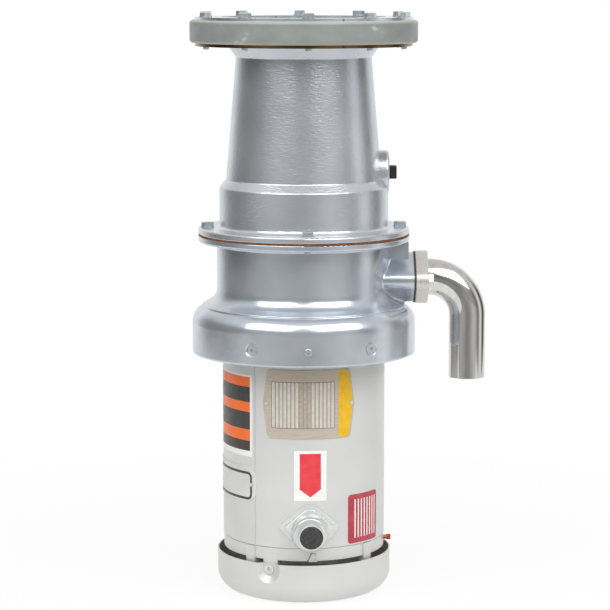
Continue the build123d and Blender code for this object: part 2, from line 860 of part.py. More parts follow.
# Conical spring washer under the lower bearing
with BuildPart() as preload_washer:
    washer_foot = lower_bearing_foot - preload_height
    washer_outer = lower_bearing_outer - slip_gap
    washer_inner = washer_outer - preload_width
    with BuildSketch(Plane.XZ):
        with BuildLine():
            Polyline((washer_inner, washer_foot), (washer_outer, lower_bearing_foot - preload_sheet),
                     (washer_outer, lower_bearing_foot), (washer_inner, washer_foot + preload_sheet),
                     close=True)
        make_face()
    revolve(axis=Axis.Z)
keep(preload_washer, "preload_washer")

# Upper motor bracket
upper_hub_foot = upper_bearing_foot - upper_hub_drop
with BuildPart() as motor_upper_bracket:
    disc(upper_flange_radius, shell_head, motor_face)
    annulus(spigot_radius, bracket_inner, shell_head - upper_spigot, shell_head)
    disc(upper_hub_radius, upper_hub_foot, shell_head)
    annulus(pilot_radius, slinger_cavity_radius, motor_face, motor_face + pilot_height)
    disc(upper_bearing_outer + press_gap, upper_hub_foot, upper_bearing_top, Mode.SUBTRACT)
    disc(upper_bearing_inner + seal_shaft_gap, upper_bearing_top, motor_face, Mode.SUBTRACT)
    round_row(mount_screw_circle, mount_screw_count, mount_screw_azimuth,
              mount_screw_radius + slip_gap, shell_head, motor_face, Mode.SUBTRACT)
    round_row(through_bolt_circle, lug_count, lug_azimuth, through_bolt_radius + slip_gap,
              shell_head - upper_spigot, shell_head, Mode.SUBTRACT)
    round_row(through_bolt_circle, lug_count, lug_azimuth, through_bolt_radius + press_gap,
              shell_head, shell_head + through_bolt_thread, Mode.SUBTRACT)
keep(motor_upper_bracket, "motor_upper_bracket")

with BuildPart() as motor_mount_screws:
    hex_row(mount_screw_circle, mount_screw_count, mount_screw_azimuth, mount_screw_head,
            shell_head - mount_screw_head_height, shell_head)
    round_row(mount_screw_circle, mount_screw_count, mount_screw_azimuth, mount_screw_radius,
              shell_head, motor_face + mount_screw_grip)
keep(motor_mount_screws, "motor_mount_screws")

# Lower housing
lower_flange_foot = lower_housing_top - lower_flange_thickness
shoulder_top = motor_face + shoulder_rise
shoulder_fall = 1 / math.tan(math.radians(shoulder_slope))
shoulder_step_radius = skirt_radius - shoulder_step_inset
shoulder_step_top = shoulder_top - (shoulder_step_radius - neck_radius) * shoulder_fall
shoulder_step_foot = shoulder_step_top - shoulder_step
shoulder_foot = shoulder_step_foot - shoulder_step_inset * shoulder_fall
with BuildPart() as lower_housing:
    with BuildSketch(Plane.XZ):
        with BuildLine():
            FilletPolyline((0, skirt_foot), (skirt_radius, skirt_foot), (skirt_radius, shoulder_foot),
                           (shoulder_step_radius, shoulder_step_foot),
                           (shoulder_step_radius, shoulder_step_top),
                           (neck_radius, shoulder_top), (neck_radius, lower_flange_foot),
                           (flange_radius, lower_flange_foot), (flange_radius, lower_housing_top),
                           (0, lower_housing_top),
                           radius=[skirt_edge_fillet, shoulder_fillet, shoulder_step_root,
                                   shoulder_step_edge, neck_fillet,
                                   flange_root_fillet, flange_edge_fillet, flange_edge_fillet / 2])
            Line((0, lower_housing_top), (0, skirt_foot))
        make_face()
    revolve(axis=Axis.Z)
    drain_slab(drain_boss_inset, neck_radius / 2, drain_face)
    boss_root = [edge for edge in lower_housing.edges(Select.LAST)
                 if edge.geom_type != GeomType.LINE and edge.center().X < drain_face - drain_boss_inset]
    fillet(boss_root, drain_boss_fillet)
    block_end = flange_radius - drain_block_inset
    with Locations((neck_radius / 2, 0, drain_height)):
        Box(block_end - neck_radius / 2, 2 * drain_block_half_width, lower_flange_foot - drain_height,
            align=(Align.MIN, Align.CENTER, Align.MIN))
    with BuildSketch(Plane.XZ):
        with BuildLine():
            FilletPolyline((0, chamber_floor), (chamber_radius, chamber_floor),
                           (chamber_radius, lower_housing_top), (0, lower_housing_top),
                           radius=[chamber_fillet, 0])
            Line((0, lower_housing_top), (0, chamber_floor))
        make_face()
        with BuildLine():
            FilletPolyline((0, skirt_foot), (skirt_bore, skirt_foot), (skirt_bore, motor_face),
                           (0, motor_face), radius=[0, skirt_inner_fillet])
            Line((0, motor_face), (0, skirt_foot))
        make_face()
    revolve(axis=Axis.Z, mode=Mode.SUBTRACT)
    disc(seal_hub_radius, chamber_floor, seal_hub_top)
    disc(seal_seat_radius + press_gap, seal_seat_foot, seal_hub_top, Mode.SUBTRACT)
    disc(seal_shaft_radius + seal_shaft_gap, motor_face, seal_hub_top, Mode.SUBTRACT)
    disc(slinger_cavity_radius, motor_face, motor_face + slinger_cavity_height, Mode.SUBTRACT)
    disc(pilot_radius + slip_gap, motor_face, motor_face + pilot_height + slip_gap, Mode.SUBTRACT)
    disc(lip_radius + slip_gap, lower_housing_top - shredder_lip_thickness, lower_housing_top,
         Mode.SUBTRACT)
    drain_pin(0, drain_bore, neck_radius / 2, drain_face, Mode.SUBTRACT)
    for offset in (drain_bolt_offset, -drain_bolt_offset):
        drain_pin(offset, drain_bolt_radius + press_gap, drain_face - drain_bolt_thread, drain_face,
                  Mode.SUBTRACT)
    round_row(flange_bolt_circle, flange_bolt_count, flange_bolt_azimuth, bolt_radius + press_gap,
              lower_flange_foot - 2 * flange_bolt_tip, lower_housing_top, Mode.SUBTRACT)
    round_row(mount_screw_circle, mount_screw_count, mount_screw_azimuth,
              mount_screw_radius + press_gap, motor_face, motor_face + mount_screw_grip, Mode.SUBTRACT)
    for azimuth in skirt_hole_azimuths:
        radial_pin(azimuth, skirt_hole_height, skirt_hole_radius, skirt_bore - skirt_wall,
                   skirt_radius + skirt_wall, Mode.SUBTRACT)
        with Locations(radial_plane(azimuth, skirt_radius - skirt_hole_chamfer, skirt_hole_height)):
            Cone(skirt_hole_radius, skirt_hole_radius + 2 * skirt_hole_chamfer, 2 * skirt_hole_chamfer,
                 align=standing, mode=Mode.SUBTRACT)
    radial_pin(skirt_screw_azimuth, skirt_hole_height, skirt_screw_radius + press_gap,
               skirt_bore - skirt_wall, skirt_radius + skirt_wall, Mode.SUBTRACT)
keep(lower_housing, "lower_housing")

with BuildPart() as skirt_plugs:
    for azimuth, sink in zip(skirt_hole_azimuths, skirt_plug_sink):
        plug_front = skirt_radius - sink
        radial_pin(azimuth, skirt_hole_height, skirt_hole_radius - press_gap,
                   plug_front - skirt_plug_length, plug_front)
        with BuildSketch(radial_plane(azimuth, plug_front, skirt_hole_height)):
            RegularPolygon(skirt_plug_socket / 2, 6, major_radius=False)
        extrude(amount=-skirt_plug_length / 2, mode=Mode.SUBTRACT)
keep(skirt_plugs, "skirt_plugs")

with BuildPart() as skirt_screw:
    radial_pin(skirt_screw_azimuth, skirt_hole_height, skirt_screw_head_radius, skirt_radius,
               skirt_radius + skirt_screw_head_height)
    fillet(skirt_screw.edges().filter_by(GeomType.CIRCLE).sort_by(Axis.Y)[0],
           skirt_screw_head_height / 2)
    radial_pin(skirt_screw_azimuth, skirt_hole_height, skirt_screw_radius, skirt_bore, skirt_radius)
keep(skirt_screw, "skirt_screw")

# Drain
with BuildPart() as drain_gasket:
    drain_slab(drain_boss_inset / 2, drain_face, drain_plate_foot)
    drain_pin(0, drain_bore, drain_face, drain_plate_foot, Mode.SUBTRACT)
    for offset in (drain_bolt_offset, -drain_bolt_offset):
        drain_pin(offset, drain_bolt_radius + slip_gap, drain_face, drain_plate_foot, Mode.SUBTRACT)
keep(drain_gasket, "drain_gasket")

with BuildPart() as drain_flange:
    drain_slab(0, drain_plate_foot, drain_plate_top)
    fillet(drain_flange.edges().group_by(Axis.X)[-1], drain_plate_fillet)
    fillet(drain_flange.edges().group_by(Axis.X)[0], drain_plate_fillet / 2)
    drain_pin(0, tube_radius + press_gap, drain_plate_foot, drain_plate_top, Mode.SUBTRACT)
    drain_pin(0, tube_lip_radius + slip_gap, drain_plate_foot, drain_plate_foot + tube_lip_thickness,
              Mode.SUBTRACT)
    for offset in (drain_bolt_offset, -drain_bolt_offset):
        drain_pin(offset, drain_bolt_radius + slip_gap, drain_plate_foot, drain_plate_top, Mode.SUBTRACT)
keep(drain_flange, "drain_flange")

elbow_reach = drain_plate_top + tube_stub + tube_bend
elbow_foot = drain_height - tube_bend - tube_drop
with BuildPart() as drain_elbow:
    with BuildLine(Plane.XZ) as route:
        FilletPolyline((drain_plate_foot, drain_height), (elbow_reach, drain_height),
                       (elbow_reach, elbow_foot), radius=tube_bend)
    with BuildSketch(Plane(origin=route.line @ 0, z_dir=route.line % 0)):
        Circle(tube_radius)
        Circle(tube_radius - tube_wall, mode=Mode.SUBTRACT)
    sweep()
    with BuildSketch(side_plane(drain_plate_foot, 0, drain_height)):
        Circle(tube_lip_radius)
        Circle(tube_radius - tube_wall, mode=Mode.SUBTRACT)
    extrude(amount=tube_lip_thickness)
keep(drain_elbow, "drain_elbow")

with BuildPart() as drain_bolts:
    for offset in (drain_bolt_offset, -drain_bolt_offset):
        with BuildSketch(side_plane(drain_plate_top, offset, drain_height)):
            RegularPolygon(drain_bolt_head / 2, 6, major_radius=False)
        extrude(amount=drain_bolt_head_height)
    chamfer(drain_bolts.edges().group_by(Axis.X)[-1], bolt_chamfer)
    for offset in (drain_bolt_offset, -drain_bolt_offset):
        drain_pin(offset, drain_bolt_radius, drain_face - drain_bolt_thread, drain_plate_top)
keep(drain_bolts, "drain_bolts")

# Upper housing
inlet_height = upper_housing_foot + inlet_rise
inlet_face = barrel_radius + inlet_boss_proud


def inlet_pin(radius, near, far, mode=Mode.ADD):
    """Cylinder along the water inlet's axis."""
    with Locations(side_plane(near, 0, inlet_height)):
        Cylinder(radius, far - near, align=standing, mode=mode)


with BuildPart() as inlet_boss:
    inlet_pin(inlet_boss_radius, barrel_radius / 2, inlet_face)
    fillet(inlet_boss.edges().group_by(Axis.X)[-1], inlet_boss_fillet)

flare_foot = clamp_flange_foot - flare_rise
flare_foot_radius = cone_top_radius + cone_draw * flare_rise / (clamp_flange_foot - cone_foot)
flare_top_radius = cone_top_radius + flare_reach
with BuildPart() as upper_housing:
    with BuildSketch(Plane.XZ):
        with BuildLine():
            FilletPolyline((0, upper_housing_foot), (flange_radius, upper_housing_foot),
                           (flange_radius, barrel_foot), (barrel_radius, barrel_foot),
                           (barrel_radius, barrel_top), (cone_foot_radius, cone_foot),
                           (flare_foot_radius, flare_foot), (flare_top_radius, clamp_flange_foot),
                           (clamp_flange_radius, clamp_flange_foot),
                           (clamp_flange_radius, clamp_flange_top), (0, clamp_flange_top),
                           radius=[flange_edge_fillet / 2, flange_edge_fillet, flange_root_fillet,
                                   cone_edge_fillet, cone_root_fillet, flare_root, 0,
                                   clamp_flange_fillet, clamp_flange_fillet])
            Line((0, clamp_flange_top), (0, upper_housing_foot))
        make_face()
    revolve(axis=Axis.Z)
    add(inlet_boss.part)
    with BuildSketch(Plane.XZ):
        with BuildLine():
            Polyline((0, upper_housing_foot), (barrel_bore, upper_housing_foot),
                     (barrel_bore, barrel_top), (cone_foot_radius - housing_wall, cone_foot),
                     (throat_radius, flare_foot), (throat_radius, clamp_flange_top),
                     (0, clamp_flange_top), close=True)
        make_face()
    revolve(axis=Axis.Z, mode=Mode.SUBTRACT)
    inlet_pin(inlet_bore, barrel_radius / 2, inlet_face, Mode.SUBTRACT)
    round_row(flange_bolt_circle, flange_bolt_count, flange_bolt_azimuth, bolt_radius + slip_gap,
              upper_housing_foot, barrel_foot, Mode.SUBTRACT)
keep(upper_housing, "upper_housing")

with BuildPart() as inlet_plug:
    with BuildSketch(side_plane(inlet_face, 0, inlet_height)):
        Rectangle(inlet_plug_square, inlet_plug_square)
    extrude(amount=inlet_plug_head)
    fillet(inlet_plug.edges().group_by(Axis.X)[1:], inlet_plug_fillet)
    inlet_pin(inlet_bore - press_gap, inlet_face - inlet_plug_length, inlet_face)
keep(inlet_plug, "inlet_plug")

with BuildPart() as housing_gasket:
    annulus(flange_radius, barrel_bore + slip_gap, lower_housing_top, upper_housing_foot)
    round_row(flange_bolt_circle, flange_bolt_count, flange_bolt_azimuth, bolt_radius + slip_gap,
              lower_housing_top, upper_housing_foot, Mode.SUBTRACT)
keep(housing_gasket, "housing_gasket")


def hex_bolts(circle, count, azimuth, seat, tip):
    """Hex bolts with a washer face, heads up, from their seat down to their tips."""
    washer_top = seat + bolt_washer_height
    hex_row(circle, count, azimuth, bolt_head, washer_top, washer_top + bolt_head_height)
    round_row(circle, count, azimuth, bolt_washer_radius, seat, washer_top)
    round_row(circle, count, azimuth, bolt_radius, tip, seat)


with BuildPart() as housing_bolts:
    hex_bolts(flange_bolt_circle, flange_bolt_count, flange_bolt_azimuth, barrel_foot,
              lower_flange_foot - flange_bolt_tip)
    chamfer(housing_bolts.edges().group_by(Axis.Z)[-1], bolt_chamfer)
    chamfer(housing_bolts.edges().group_by(Axis.Z)[0], bolt_chamfer)
keep(housing_bolts, "housing_bolts")

# Sink clamp
lower_clamp_foot = clamp_flange_foot - lower_clamp_thickness
split_angle = clamp_bolt_azimuth + 180 / clamp_bolt_count - 90


def split_ring(radius, foot):
    """Saw a clamp ring into two halves, between two bolts."""
    with Locations(Location((0, 0, foot), (0, 0, split_angle))):
        Box(4 * radius, clamp_split, radius, mode=Mode.SUBTRACT)


with BuildPart() as lower_clamp_ring:
    annulus(lower_clamp_radius, clamp_bore, lower_clamp_foot, clamp_flange_foot)
    round_row(clamp_bolt_circle, clamp_bolt_count, clamp_bolt_azimuth, bolt_radius + press_gap,
              lower_clamp_foot, clamp_flange_foot, Mode.SUBTRACT)
    split_ring(lower_clamp_radius, lower_clamp_foot)
keep(lower_clamp_ring, "lower_clamp_ring")

with BuildPart() as isolation_ring:
    with BuildSketch(Plane.XZ):
        rabbet = clamp_flange_radius + slip_gap
        with BuildLine():
            FilletPolyline((isolation_bore, clamp_flange_top), (isolation_bore, isolation_top),
                           (isolation_radius, isolation_top), (isolation_radius, clamp_flange_foot),
                           (rabbet, clamp_flange_foot), (rabbet, clamp_flange_top), close=True,
                           radius=[0, isolation_bore_fillet, isolation_fillet, isolation_fillet,
                                   0, 0])
        make_face()
    revolve(axis=Axis.Z)
    round_row(clamp_bolt_circle, clamp_bolt_count, clamp_bolt_azimuth, bolt_radius + slip_gap,
              clamp_flange_foot, isolation_top, Mode.SUBTRACT)
keep(isolation_ring, "isolation_ring")

with BuildPart() as upper_clamp_ring:
    annulus(upper_clamp_radius, clamp_bore, isolation_top, clamp_top)
    round_row(clamp_bolt_circle, clamp_bolt_count, clamp_bolt_azimuth, bolt_radius + slip_gap,
              isolation_top, clamp_top, Mode.SUBTRACT)
    split_ring(upper_clamp_radius, isolation_top)
keep(upper_clamp_ring, "upper_clamp_ring")

with BuildPart() as clamp_bolts:
    hex_bolts(clamp_bolt_circle, clamp_bolt_count, clamp_bolt_azimuth, clamp_top,
              lower_clamp_foot - clamp_bolt_tip)
    chamfer(clamp_bolts.edges().group_by(Axis.Z)[-1], bolt_chamfer)
    chamfer(clamp_bolts.edges().group_by(Axis.Z)[0], bolt_chamfer)
keep(clamp_bolts, "clamp_bolts")

# Grinding parts
with BuildPart() as shredder_ring:
    lip_foot = lower_housing_top - shredder_lip_thickness
    annulus(lip_radius, shredder_bore, lip_foot, lower_housing_top)
    annulus(shredder_radius, shredder_bore, lower_housing_top, barrel_top - shredder_top_gap)
    port_head = table_top + shredder_port_rise
    with Locations((0, 0, lip_foot)):
        with PolarLocations(shredder_bore, shredder_port_count):
            Box(2 * shredder_port_depth, shredder_port_width, port_head - lip_foot, align=standing,
                mode=Mode.SUBTRACT)
keep(shredder_ring, "shredder_ring")

cutter_reach = table_radius - cutter_edge_gap
cutter_middle = cutter_reach - cutter_length / 2
cutter_screw_circles = (cutter_middle - cutter_length / 4, cutter_middle + cutter_length / 4)
with BuildPart() as turntable:
    disc(table_radius, table_foot, table_top)
    disc(table_hub_radius, table_hub_foot, table_foot)
    disc(table_boss_radius, table_top, table_boss_top)
    disc(table_seat_radius, table_hub_foot, table_boss_top, Mode.SUBTRACT)
    with Locations((0, 0, key_middle)):
        Box(key_width, key_reach + press_gap, key_length,
            align=(Align.CENTER, Align.MIN, Align.CENTER), mode=Mode.SUBTRACT)
    for circle in cutter_screw_circles:
        round_row(circle, 2, 0, cutter_screw_radius + press_gap, table_foot, table_top, Mode.SUBTRACT)
keep(turntable, "turntable")

with BuildPart() as turntable_key:
    with Locations((0, key_reach - key_height, key_middle)):
        Box(key_width, key_height, key_length, align=(Align.CENTER, Align.MIN, Align.CENTER))
keep(turntable_key, "turntable_key")

with BuildPart() as cutter_lugs:
    with BuildSketch(Plane.XY.offset(table_top)):
        with PolarLocations(cutter_reach, 2, start_angle=-90):
            Rectangle(cutter_length, cutter_width, align=(Align.MAX, Align.CENTER))
    extrude(amount=cutter_height)
    chamfer(cutter_lugs.edges().group_by(Axis.Z)[-1], cutter_chamfer)
    for circle in cutter_screw_circles:
        round_row(circle, 2, 0, cutter_screw_radius + press_gap, table_top,
                  table_top + cutter_screw_grip, Mode.SUBTRACT)
keep(cutter_lugs, "cutter_lugs")

with BuildPart() as lug_screws:
    for circle in cutter_screw_circles:
        round_row(circle, 2, 0, cutter_screw_head_radius, table_foot - cutter_screw_head_height, table_foot)
        round_row(circle, 2, 0, cutter_screw_radius, table_foot, table_top + cutter_screw_grip)
keep(lug_screws, "lug_screws")

with BuildPart() as turntable_washer:
    annulus(table_washer_radius, thread_radius, table_boss_top, nut_foot)
keep(turntable_washer, "turntable_washer")

with BuildPart() as turntable_nut:
    with BuildSketch(Plane.XY.offset(nut_foot)):
        RegularPolygon(table_nut_flat / 2, 6, major_radius=False)
        Circle(thread_radius, mode=Mode.SUBTRACT)
    extrude(amount=table_nut_height)
    chamfer(turntable_nut.edges().filter_by(GeomType.LINE).group_by(Axis.Z)[-1], bolt_chamfer)
keep(turntable_nut, "turntable_nut")

# Face seal
with BuildPart() as seal_seat:
    annulus(seal_seat_radius, seal_shaft_radius + seal_shaft_gap, seal_seat_foot, seal_hub_top)
keep(seal_seat, "seal_seat")

with BuildPart() as seal_face:
    annulus(seal_face_radius, seal_shaft_radius + press_gap, seal_hub_top, seal_face_top)
keep(seal_face, "seal_face")

with BuildPart() as seal_bellows:
    bellows_inner = seal_shaft_radius + press_gap
    bellows_root = bellows_inner + bellows_wall
    fold = (table_hub_foot - seal_face_top) / bellows_folds
    with BuildSketch(Plane.XZ):
        with BuildLine():
            outline = [(bellows_inner, seal_face_top)]
            for number in range(bellows_folds):
                outline.append((bellows_root, seal_face_top + fold * number))
                outline.append((bellows_root + bellows_wave, seal_face_top + fold * (number + 0.5)))
            outline.append((bellows_root, table_hub_foot))
            outline.append((bellows_inner, table_hub_foot))
            Polyline(*outline, close=True)
        make_face()
    revolve(axis=Axis.Z)
keep(seal_bellows, "seal_bellows")

with BuildPart() as seal_spring:
    spring_height = table_hub_foot - seal_face_top - 2 * seal_spring_wire
    with BuildLine() as coil:
        Helix(spring_height / seal_spring_turns, spring_height, seal_spring_radius,
              center=(0, 0, seal_face_top + seal_spring_wire))
    with BuildSketch(Plane(origin=coil.line @ 0, z_dir=coil.line % 0)):
        Circle(seal_spring_wire)
    sweep(is_frenet=True)
keep(seal_spring, "seal_spring")

with BuildPart() as slinger:
    slinger_foot = motor_face + slinger_gap
    annulus(slinger_radius, seal_shaft_radius + press_gap, slinger_foot, slinger_foot + slinger_thickness)
keep(slinger, "slinger")

# Reset switch
reset_axis = Axis((0, 0, 0), radial_plane(reset_azimuth, 0, 0).z_dir)
collar_front = shell_radius + reset_collar_height
dome_front = shell_radius + reset_dome_height
rivet_end = shell_radius + reset_rivet_grip


def reset_block(inset, front):
    """Raise the reset cover's rounded diamond, drawn in by an inset, up to a distance from the axis."""
    with BuildSketch(radial_plane(reset_azimuth, shell_radius / 2, reset_height)) as diamond:
        Circle(reset_foot_radius - inset)
        with Locations((0, reset_apex_rise)):
            Circle(reset_apex_radius - inset)
        with Locations((reset_ear_offset, reset_ear_rise), (-reset_ear_offset, reset_ear_rise)):
            Circle(reset_ear_radius - inset)
        make_hull()
    extrude(diamond.sketch, amount=front - shell_radius / 2)


with BuildPart() as reset_cover:
    reset_block(0, 2 * shell_radius)
    disc(shell_radius + reset_skin, 0, 2 * reset_height, Mode.INTERSECT)
    reset_block(reset_step_inset, shell_radius + reset_step_height)
    fillet(reset_cover.faces().sort_by(reset_axis)[-1].edges(), reset_step_fillet)
    with Locations(radial_plane(reset_azimuth, shell_radius - reset_dome_root, reset_height)):
        Cone(reset_dome_foot, reset_dome_top, reset_dome_root + reset_dome_height, align=standing)
    radial_pin(reset_azimuth, reset_height, reset_collar_radius, dome_front, collar_front)
    fillet(reset_cover.faces().sort_by(reset_axis)[-1].edges(), reset_collar_fillet)
    radial_pin(reset_azimuth, reset_height, reset_bore + reset_bezel_wall, dome_front, reset_front)
    disc(shell_radius + press_gap, 0, 2 * reset_height, Mode.SUBTRACT)
    radial_pin(reset_azimuth, reset_height, reset_bore, shell_radius + reset_floor, reset_front,
               Mode.SUBTRACT)
    radial_pin(reset_azimuth, reset_height, button_stem_radius + slip_gap, shell_inner,
               shell_radius + reset_floor, Mode.SUBTRACT)
    for azimuth in rivet_azimuths:
        radial_pin(azimuth, rivet_height, reset_rivet_radius + press_gap, shell_inner, rivet_end,
                   Mode.SUBTRACT)
keep(reset_cover, "reset_cover")

with BuildPart() as reset_rivets:
    head_seat = math.sqrt(shell_inner ** 2 - reset_rivet_head_radius ** 2) - press_gap
    for azimuth in rivet_azimuths:
        radial_pin(azimuth, rivet_height, reset_rivet_radius, head_seat, rivet_end)
        radial_pin(azimuth, rivet_height, reset_rivet_head_radius, head_seat - reset_rivet_head_height,
                   head_seat)
keep(reset_rivets, "reset_rivets")

with BuildPart() as reset_button:
    radial_pin(reset_azimuth, reset_height, reset_bore - button_gap, button_back, button_front)
    fillet(reset_button.edges().filter_by(GeomType.CIRCLE).sort_by(Axis.Y)[0], button_fillet)
    radial_pin(reset_azimuth, reset_height, button_stem_radius, stem_end, button_back)
keep(reset_button, "reset_button")

with BuildPart() as overload_protector:
    protector_back = shell_inner - protector_depth
    radial_pin(reset_azimuth, reset_height, protector_radius, protector_back, shell_radius)
    disc(shell_inner - press_gap, reset_height - 2 * protector_radius, reset_height + 2 * protector_radius,
         Mode.INTERSECT)
    radial_pin(reset_azimuth, reset_height, button_stem_radius + slip_gap, stem_end - 2 * button_travel,
               shell_radius, Mode.SUBTRACT)
keep(overload_protector, "overload_protector")
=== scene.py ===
import math

import bmesh
import bpy
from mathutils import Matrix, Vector


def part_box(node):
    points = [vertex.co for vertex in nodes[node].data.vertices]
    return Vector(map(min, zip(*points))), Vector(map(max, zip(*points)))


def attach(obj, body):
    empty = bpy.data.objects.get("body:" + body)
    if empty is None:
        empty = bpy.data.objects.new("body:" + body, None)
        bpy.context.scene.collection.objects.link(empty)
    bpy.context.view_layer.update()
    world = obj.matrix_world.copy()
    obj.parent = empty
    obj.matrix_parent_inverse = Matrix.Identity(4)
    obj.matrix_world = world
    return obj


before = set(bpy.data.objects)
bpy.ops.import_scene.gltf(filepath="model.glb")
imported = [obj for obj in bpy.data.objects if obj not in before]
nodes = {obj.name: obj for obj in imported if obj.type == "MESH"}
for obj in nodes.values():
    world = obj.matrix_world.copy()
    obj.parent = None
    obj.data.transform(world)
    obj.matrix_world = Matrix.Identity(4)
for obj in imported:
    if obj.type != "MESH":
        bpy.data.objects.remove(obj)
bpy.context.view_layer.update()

# The part's own sizes are in millimetres, the studio round it in metres. Azimuths and bearings are in
# degrees, from the camera side (-Y) towards the drain (+X).
MM = 0.001

# Sockets of a Mix node that mixes colours: its factor, its two colours and, among its outputs, the result.
FACTOR, FIRST, SECOND, MIXED = 0, 6, 7, 2
# A noise texture's values lie mostly between these.
NOISE_LOW, NOISE_HIGH = 0.3, 0.7
# Shares of the noise at which a mottle of two tones is all dark and all light.
MOTTLE_LOW, MOTTLE_HIGH = 0.32, 0.66
# Size of a material's gloss patches as a share of its mottle's size.
PATCH_SHARE = 0.6

# Stickers and prints: height over what carries them, and thickness.
STICKER_LIFT = 0.02
STICKER_THICKNESS = 0.1
PRINT_LIFT = 0.08
PRINT_THICKNESS = 0.05
TINT_THICKNESS = 0.04


def reach(name):
    """Largest distance of a node from the main axis."""
    return max(math.hypot(vertex.co.x, vertex.co.y) for vertex in nodes[name].data.vertices) / MM


def heights(name):
    """Lowest and highest point of a node."""
    return [corner[2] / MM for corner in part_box(name)]


SHELL = reach("motor_shell")
PLATE = reach("nameplate")
BADGE = reach("badge_plate")


def linear(code):
    """Linear colour of an sRGB hex value."""
    shares = [int(code[place:place + 2], 16) / 255 for place in (1, 3, 5)]
    return [share / 12.92 if share <= 0.04045 else ((share + 0.055) / 1.055) ** 2.4
            for share in shares] + [1.0]


def grey(level):
    """Linear grey of a brightness, where 1 is white."""
    return [level, level, level, 1.0]


def add(tree, kind, inputs=None, stops=None, **settings):
    """Add one shader node with its settings, its inputs (values or sockets) and a ramp's stops."""
    node = tree.nodes.new("ShaderNode" + kind)
    for name, value in settings.items():
        setattr(node, name, value)
    for name, value in (inputs or {}).items():
        if isinstance(value, bpy.types.NodeSocket):
            tree.links.new(value, node.inputs[name])
        else:
            node.inputs[name].default_value = value
    if stops:
        while len(node.color_ramp.elements) < len(stops):
            node.color_ramp.elements.new(1.0)
        for element, (place, colour) in zip(node.color_ramp.elements, stops):
            element.position = place
            element.color = colour
    return node


def finish(name, tones, mottle, metallic, roughness, spread=0.08, stretch=(1, 1, 1),
           bump=1.0, bump_depth=0.02, bump_stretch=(1, 1, 1), detail=3.0, rims=None, **sockets):
    """Material with mottled tones, uneven gloss and a fine relief.

    A tone is (share of the noise, colour). The mottle, the bump and its depth are sizes in millimetres, and
    a stretch above 1 makes the marks longer along that axis. The roughness varies by the spread each way.
    Rims are (lowest height, highest height, width, colour) of a painted highlight that lightens the colour
    towards the top and bottom edges.
    """
    material = bpy.data.materials.new(name)
    material.use_nodes = True
    tree = material.node_tree
    shader = tree.nodes["Principled BSDF"]
    shader.inputs["Metallic"].default_value = metallic
    for socket, value in sockets.items():
        shader.inputs[socket].default_value = value
    place = add(tree, "TexCoord").outputs["Object"]
    noises = []
    for size, pull in ((mottle, stretch), (PATCH_SHARE * mottle, stretch), (bump, bump_stretch)):
        scaled = add(tree, "Mapping", {"Vector": place, "Scale": [1 / (size * MM * part) for part in pull]})
        noise = add(tree, "TexNoise", {"Vector": scaled.outputs["Vector"], "Scale": 1.0, "Detail": detail})
        noises.append(noise.outputs["Fac"])
    clouds, patches, relief = noises
    ramp = add(tree, "ValToRGB", {"Fac": clouds}, stops=[(share, linear(code)) for share, code in tones])
    colour = ramp.outputs["Color"]
    # Painted highlight: the colour turns pale within a width of the lowest and highest heights, where the
    # edges catch the light.
    if rims:
        foot, head, width, rim_highlight = rims
        gap = add(tree, "SeparateXYZ", {"Vector": place}).outputs["Z"]
        # Height away from the middle, then height away from the nearer rim.
        for level in ((head + foot) / 2, (head - foot) / 2):
            moved = add(tree, "Math", {0: gap, 1: level * MM}, operation="SUBTRACT")
            gap = add(tree, "Math", {0: moved.outputs[0]}, operation="ABSOLUTE").outputs[0]
        edge = add(tree, "MapRange", {"Value": gap, "From Max": width * MM, "To Min": 1.0, "To Max": 0.0})
        mixed = add(tree, "Mix", {FACTOR: edge.outputs["Result"], FIRST: colour, SECOND: linear(rim_highlight)},
                    data_type="RGBA")
        colour = mixed.outputs[MIXED]
    tree.links.new(colour, shader.inputs["Base Color"])
    gloss = add(tree, "MapRange", {"Value": patches, "From Min": NOISE_LOW, "From Max": NOISE_HIGH,
                                   "To Min": roughness - spread, "To Max": roughness + spread})
    tree.links.new(gloss.outputs["Result"], shader.inputs["Roughness"])
    skin = add(tree, "Bump", {"Height": relief, "Strength": 1.0, "Distance": bump_depth * MM})
    tree.links.new(skin.outputs["Normal"], shader.inputs["Normal"])
    return material


def two(dark, light):
    """Tones of a soft mottle between two colours."""
    return [(MOTTLE_LOW, dark), (MOTTLE_HIGH, light)]


def film(name, tones, mottle, roughness, metallic=0.0, bump=3.0):
    """Vinyl film or screen ink: an even colour with a faint mottle and a soft sheen."""
    return finish(name, tones, mottle, metallic, roughness, bump=bump, bump_depth=0.01)


rubber_foot, rubber_head = heights("isolation_ring")

